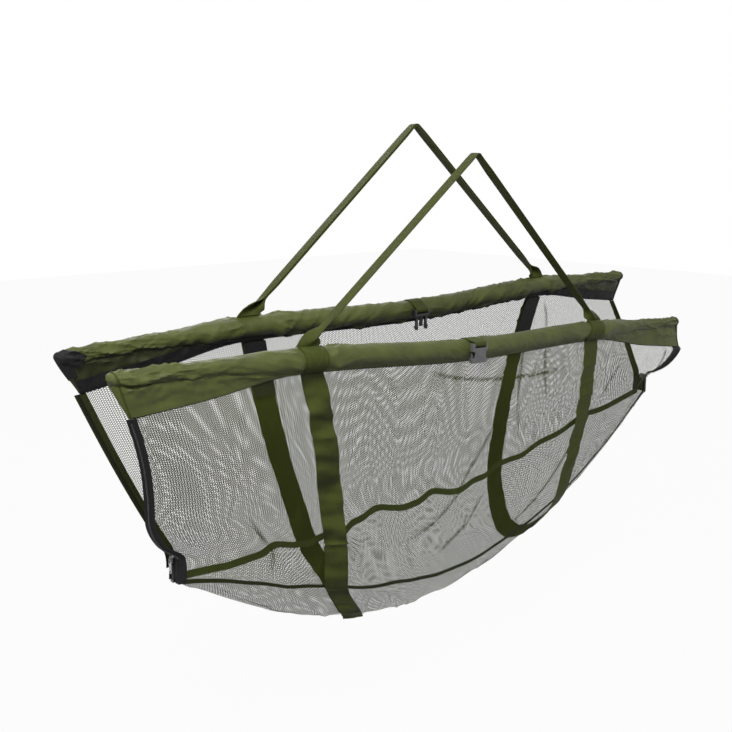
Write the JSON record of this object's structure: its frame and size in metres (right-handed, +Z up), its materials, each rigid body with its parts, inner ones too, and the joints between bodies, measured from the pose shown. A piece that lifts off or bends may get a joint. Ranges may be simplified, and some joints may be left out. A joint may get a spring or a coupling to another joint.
{
  "type": "weigh sling",
  "caption": "Fishing weigh sling: mesh bag between floating poles in olive sleeves, webbing lifting straps and handles, zipped ends, side-release buckle.",
  "frame": {"origin": "the point the sling hangs from, midway between the tops of its two handles", "axes": "+X along the poles towards the right end in the picture, +Y from the front pole to the back pole, +Z up"},
  "size_m": [1.2173, 0.1718, 0.7518],
  "materials": {
    "olive_nylon": "coated woven nylon, slightly glossy",
    "olive_webbing": "ribbed polyester webbing, matte",
    "black_mesh": "soft knotless mesh, matte",
    "black_tape": "woven zip tape, matte",
    "black_plastic": "moulded acetal, satin",
    "gunmetal": "dark plated zinc, satin",
    "glass_fibre": "glass fibre rod, smooth",
    "grey_foam": "closed-cell foam, matte"
  },
  "bodies": {
    "bag": {"bottom_net_panel": "black_mesh", "front_net_panel": "black_mesh", "back_net_panel": "black_mesh", "front_seam_binding": "olive_webbing", "back_seam_binding": "olive_webbing", "left_belly_strap": "olive_webbing", "right_belly_strap": "olive_webbing", "left_front_zip_tape": "black_tape", "left_front_zip_coil": "black_plastic", "left_back_zip_tape": "black_tape", "left_back_zip_coil": "black_plastic", "right_front_zip_tape": "black_tape", "right_front_zip_coil": "black_plastic", "right_back_zip_tape": "black_tape", "right_back_zip_coil": "black_plastic", "left_zip_chain": "black_tape", "right_zip_chain": "black_tape", "left_zip_stop": "gunmetal", "right_zip_stop": "gunmetal"},
    "front_rail": {"front_sleeve": "olive_nylon", "front_pole": "glass_fibre", "front_float": "grey_foam", "front_left_pole_cap": "black_plastic", "front_right_pole_cap": "black_plastic", "front_left_strap_band": "olive_webbing", "front_right_strap_band": "olive_webbing", "socket_tab": "olive_webbing"},
    "back_rail": {"back_sleeve": "olive_nylon", "back_pole": "glass_fibre", "back_float": "grey_foam", "back_left_pole_cap": "black_plastic", "back_right_pole_cap": "black_plastic", "back_left_strap_band": "olive_webbing", "back_right_strap_band": "olive_webbing", "plug_tab": "olive_webbing"},
    "front_handle": {"front_handle": "olive_webbing"},
    "back_handle": {"back_handle": "olive_webbing"},
    "socket": {"buckle_socket": "black_plastic"},
    "plug": {"buckle_plug": "black_plastic"},
    "plug_arm_left": {"plug_left_arm": "black_plastic"},
    "plug_arm_right": {"plug_right_arm": "black_plastic"},
    "left_slider": {"left_zip_slider": "gunmetal"},
    "right_slider": {"right_zip_slider": "gunmetal"},
    "left_pull": {"left_zip_pull": "gunmetal"},
    "right_pull": {"right_zip_pull": "gunmetal"}
  },
  "joints": [
    {"name": "front_rail_swing", "type": "hinge", "parent": "bag", "child": "front_rail", "pos_m": [0.062, -0.065, -0.4975], "axis": [0.9968, 0, 0.0796], "range_deg": [-4, 30]},
    {"name": "back_rail_swing", "type": "hinge", "parent": "bag", "child": "back_rail", "pos_m": [0.062, 0.065, -0.4975], "axis": [-0.9968, 0, -0.0796], "range_deg": [-5, 4]},
    {"name": "front_handle_fold", "type": "hinge", "parent": "front_rail", "child": "front_handle", "pos_m": [0.00094, -0.065, -0.28571], "axis": [0.9985, 0, -0.0542], "range_deg": [-10, 45]},
    {"name": "back_handle_fold", "type": "hinge", "parent": "back_rail", "child": "back_handle", "pos_m": [-0.00014, 0.065, -0.2397], "axis": [-1, 0, -0.008], "range_deg": [-10, 45]},
    {"name": "socket_swing", "type": "hinge", "parent": "front_rail", "child": "socket", "pos_m": [-0.00502, -0.0846, -0.30322], "axis": [-0.9985, 0, 0.0542], "range_deg": [0, 90]},
    {"name": "plug_swing", "type": "hinge", "parent": "back_rail", "child": "plug", "pos_m": [0.00007, 0.0454, -0.266], "axis": [-1, 0, -0.008], "range_deg": [0, 90]},
    {"name": "left_arm_flex", "type": "hinge", "parent": "plug", "child": "plug_arm_left", "pos_m": [-0.00994, 0.0454, -0.27668], "axis": [0, -1, 0], "range_deg": [0, 8], "stiffness_Nm_per_rad": 0.05},
    {"name": "right_arm_flex", "type": "hinge", "parent": "plug", "child": "plug_arm_right", "pos_m": [0.01026, 0.0454, -0.27652], "axis": [0, 1, 0], "range_deg": [0, 8], "stiffness_Nm_per_rad": 0.05},
    {"name": "left_zip_slide", "type": "slide", "parent": "bag", "child": "left_slider", "axis": [0, 0, -1], "range_m": [0, 0.022], "deforming": ["left_zip_chain"]},
    {"name": "right_zip_slide", "type": "slide", "parent": "bag", "child": "right_slider", "axis": [0, 0, -1], "range_m": [0, 0.022], "deforming": ["right_zip_chain"]},
    {"name": "left_pull_swing", "type": "hinge", "parent": "left_slider", "child": "left_pull", "pos_m": [-0.4887, 0.02, -0.5455], "axis": [0, 1, 0], "range_deg": [0, 150]},
    {"name": "right_pull_swing", "type": "hinge", "parent": "right_slider", "child": "right_pull", "pos_m": [0.6127, 0.005, -0.4585], "axis": [0, -1, 0], "range_deg": [0, 150]}
  ],
  "couplings": [
    {"joint": "right_arm_flex", "follows": "left_arm_flex", "ratio": 1}
  ]
}
